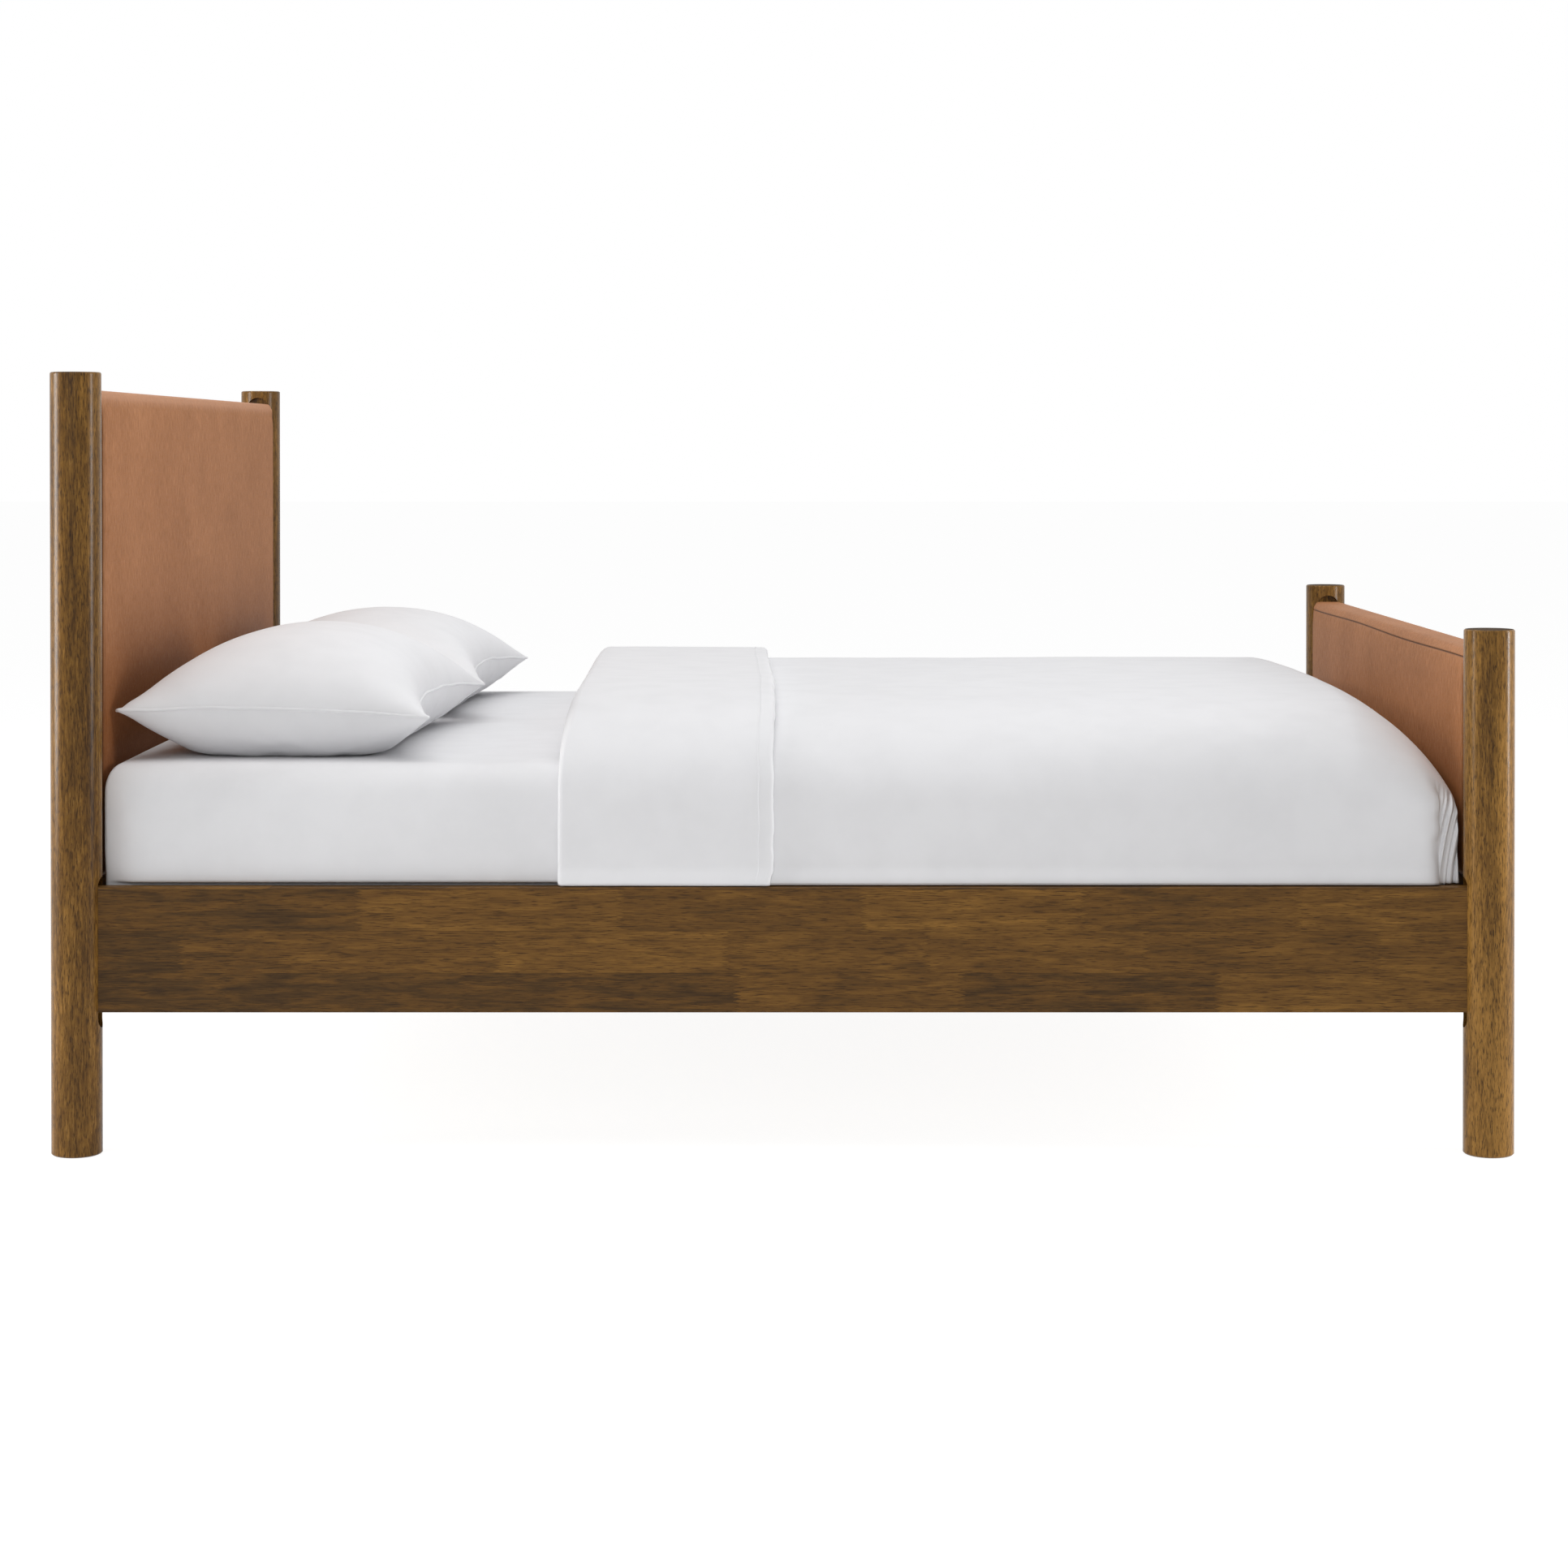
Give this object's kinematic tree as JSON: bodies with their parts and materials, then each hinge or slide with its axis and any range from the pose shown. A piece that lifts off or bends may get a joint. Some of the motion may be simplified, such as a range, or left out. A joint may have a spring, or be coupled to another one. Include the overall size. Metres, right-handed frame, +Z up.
{
  "type": "platform bed",
  "caption": "Platform bed with round dark wooden posts, jointed stave side rails and padded tan leather head and foot panels, made up with white mattress, duvet and pillows.",
  "frame": {"origin": "on the floor, at the middle of the bed's outline", "axes": "+X along the bed from head to foot, +Y across it to the right of someone at the foot who looks at the head, +Z up"},
  "size_m": [2.2, 1.65, 1.176],
  "materials": {
    "post_wood": "dark brown satin oil on solid acacia",
    "rail_wood": "dark brown satin oil on finger-jointed acacia staves",
    "pine": "bare sanded softwood",
    "leather": "semi-matt tan aniline leather",
    "foam": "open-cell padding foam",
    "zinc_steel": "bright zinc plate",
    "webbing": "woven polyester webbing",
    "glide_plastic": "moulded nylon",
    "mattress_ticking": "knitted white ticking over foam",
    "sheet_cotton": "plain-woven white cotton",
    "duvet_cotton": "plain-woven white cotton over a soft filling",
    "pillow_cotton": "plain-woven white cotton over a soft filling"
  },
  "bodies": {
    "frame": {"beam_hanger_foot": "zinc_steel", "beam_hanger_head": "zinc_steel", "cleat_left": "pine", "cleat_right": "pine", "cleat_screws": "zinc_steel", "foot_cross_rail": "rail_wood", "foot_panel_foam": "foam", "foot_panel_frame": "pine", "foot_panel_leather": "leather", "foot_post_left": "post_wood", "foot_post_right": "post_wood", "glide_foot_left": "glide_plastic", "glide_foot_right": "glide_plastic", "glide_head_left": "glide_plastic", "glide_head_right": "glide_plastic", "hanger_screws": "zinc_steel", "head_cross_rail": "rail_wood", "head_panel_foam": "foam", "head_panel_frame": "pine", "head_panel_leather": "leather", "head_post_left": "post_wood", "head_post_right": "post_wood", "hook_plate_foot_left": "zinc_steel", "hook_plate_foot_right": "zinc_steel", "hook_plate_head_left": "zinc_steel", "hook_plate_head_right": "zinc_steel", "hook_plate_screws": "zinc_steel", "middle_beam": "pine", "post_plate_foot_left": "zinc_steel", "post_plate_foot_right": "zinc_steel", "post_plate_head_left": "zinc_steel", "post_plate_head_right": "zinc_steel", "post_plate_screws": "zinc_steel", "side_rail_left": "rail_wood", "side_rail_right": "rail_wood", "slat_01": "pine", "slat_02": "pine", "slat_03": "pine", "slat_04": "pine", "slat_05": "pine", "slat_06": "pine", "slat_07": "pine", "slat_08": "pine", "slat_09": "pine", "slat_10": "pine", "slat_11": "pine", "slat_12": "pine", "slat_13": "pine", "slat_14": "pine", "slat_screws": "zinc_steel", "webbing_left": "webbing", "webbing_right": "webbing"},
    "mattress": {"mattress": "mattress_ticking", "fitted_sheet": "sheet_cotton"},
    "duvet": {"duvet": "duvet_cotton"},
    "pillow_left": {"pillow_left": "pillow_cotton"},
    "pillow_right": {"pillow_right": "pillow_cotton"}
  },
  "joints": [
    {"name": "mattress_lift", "type": "slide", "parent": "frame", "child": "mattress", "axis": [0, 0, 1], "range_m": [0, 0.86]},
    {"name": "duvet_lift", "type": "slide", "parent": "mattress", "child": "duvet", "axis": [0, 0, 1], "range_m": [0, 0.4]},
    {"name": "pillow_left_lift", "type": "slide", "parent": "mattress", "child": "pillow_left", "axis": [0, 0, 1], "range_m": [0, 0.4]},
    {"name": "pillow_right_lift", "type": "slide", "parent": "mattress", "child": "pillow_right", "axis": [0, 0, 1], "range_m": [0, 0.4]}
  ]
}
